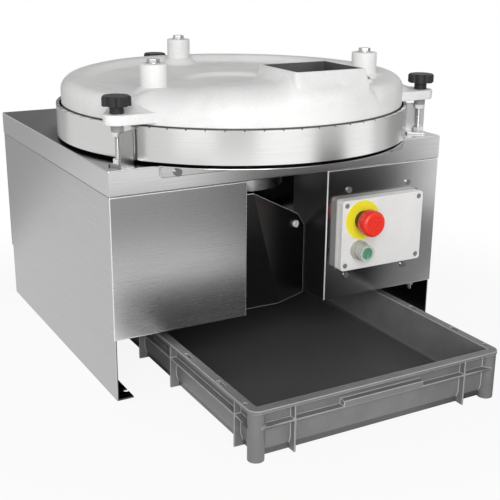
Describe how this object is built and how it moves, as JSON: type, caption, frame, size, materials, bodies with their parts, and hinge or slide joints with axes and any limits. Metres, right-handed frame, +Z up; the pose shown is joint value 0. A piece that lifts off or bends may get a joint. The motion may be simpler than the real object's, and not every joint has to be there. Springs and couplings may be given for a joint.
{
  "type": "dough rounder",
  "caption": "Bench-top dough rounder: a grooved pan turns under a fixed white lid with a feed inlet, and the rounded dough drops through its middle into a crate on the bench.",
  "frame": {"origin": "middle of the whole footprint on the bench, with the crate pulled out as in the picture; the pan's axis stands 42 mm behind it", "axes": "+X to the right seen from the front, +Y to the back, +Z up from the bench"},
  "size_m": [0.55, 0.744, 0.4614],
  "materials": {
    "stainless": "brushed",
    "ring_steel": "brushed",
    "guard_steel": "satin",
    "tool_steel": "machined",
    "zinc": "zinc plated",
    "pan_aluminium": "machined",
    "cast_aluminium": "as cast",
    "lid_white": "textured coating",
    "guide_white": "smooth",
    "bearing_polymer": "smooth",
    "knob_black": "satin",
    "black_plastic": "satin",
    "motor_grey": "semi-gloss",
    "box_grey": "fine texture",
    "disc_yellow": "smooth",
    "button_red": "gloss",
    "button_green": "gloss",
    "boot_clear": "translucent",
    "crate_grey": "satin"
  },
  "bodies": {
    "housing": {"back_panel": "stainless", "control_panel": "stainless", "control_panel_screws": "zinc", "drop_guard": "guard_steel", "earth_stud": "zinc", "enclosure_base": "box_grey", "enclosure_bracket": "stainless", "enclosure_cover": "box_grey", "enclosure_screws": "zinc", "estop_block": "black_plastic", "estop_collar": "black_plastic", "estop_disc": "disc_yellow", "frame_bolts": "zinc", "gearbox": "cast_aluminium", "gearbox_bolts": "zinc", "guard_bolts": "zinc", "left_front_panel": "stainless", "left_side_cover": "stainless", "left_side_frame": "stainless", "motor_body": "motor_grey", "motor_fan_cover": "motor_grey", "motor_pillars": "tool_steel", "motor_plate": "tool_steel", "motor_plate_bolts": "zinc", "motor_terminal_box": "motor_grey", "pan_bearing": "bearing_polymer", "pan_guard": "stainless", "post_bracket_left": "stainless", "post_bracket_rear": "stainless", "post_bracket_right": "stainless", "post_nuts": "zinc", "post_studs": "zinc", "right_side_cover": "stainless", "right_side_frame": "stainless", "start_bezel": "box_grey", "start_block": "black_plastic", "support_plate": "tool_steel", "table_top": "stainless"},
    "pan": {"pan_ring": "ring_steel", "pan_plate": "pan_aluminium", "pan_ring_screws": "zinc", "pan_hub_screws": "zinc", "drop_tube": "ring_steel", "drive_gear": "tool_steel", "gear_grub_screws": "tool_steel"},
    "pinion": {"pinion": "tool_steel", "pinion_key": "tool_steel", "output_shaft": "tool_steel"},
    "lid": {"lid": "lid_white", "lid_plug": "zinc", "spiral_guide": "guide_white", "boss_bolts": "zinc"},
    "knob_left": {"knob_left": "knob_black"},
    "knob_right": {"knob_right": "knob_black"},
    "knob_rear": {"knob_rear": "knob_black"},
    "estop_stem": {"estop_stem": "tool_steel"},
    "estop_head": {"estop_head": "button_red"},
    "start_button": {"start_cap": "button_green", "start_boot": "boot_clear"},
    "crate": {"crate": "crate_grey"}
  },
  "joints": [
    {"name": "pan_spin", "type": "hinge", "parent": "housing", "child": "pan", "pos_m": [0, 0.042, 0], "axis": [0, 0, 1], "continuous": true},
    {"name": "pinion_spin", "type": "hinge", "parent": "housing", "child": "pinion", "pos_m": [-0.15, 0.042, 0], "axis": [0, 0, 1], "continuous": true},
    {"name": "lid_lift", "type": "slide", "parent": "housing", "child": "lid", "axis": [0, 0, 1], "range_m": [0, 0.12]},
    {"name": "knob_left_turn", "type": "hinge", "parent": "lid", "child": "knob_left", "pos_m": [-0.25029, -0.10839, 0.4], "axis": [0, 0, 1], "continuous": true},
    {"name": "knob_right_turn", "type": "hinge", "parent": "lid", "child": "knob_right", "pos_m": [0.25288, -0.104, 0.4], "axis": [0, 0, 1], "continuous": true},
    {"name": "knob_rear_turn", "type": "hinge", "parent": "lid", "child": "knob_rear", "pos_m": [-0.00255, 0.33399, 0.4], "axis": [0, 0, 1], "continuous": true},
    {"name": "estop_push", "type": "slide", "parent": "housing", "child": "estop_stem", "axis": [0, 1, 0], "range_m": [0, 0.005], "stiffness_N_per_m": 600},
    {"name": "estop_twist", "type": "hinge", "parent": "estop_stem", "child": "estop_head", "pos_m": [0.122, -0.168, 0.217], "axis": [0, 1, 0], "range_deg": [0, 45], "stiffness_Nm_per_rad": 0.05},
    {"name": "start_push", "type": "slide", "parent": "housing", "child": "start_button", "axis": [0, 1, 0], "range_m": [0, 0.0035], "stiffness_N_per_m": 500},
    {"name": "crate_pull", "type": "slide", "parent": "housing", "child": "crate", "axis": [0, -1, 0], "range_m": [-0.14, 0.36]}
  ],
  "couplings": [
    {"joint": "pinion_spin", "follows": "pan_spin", "ratio": -4}
  ]
}
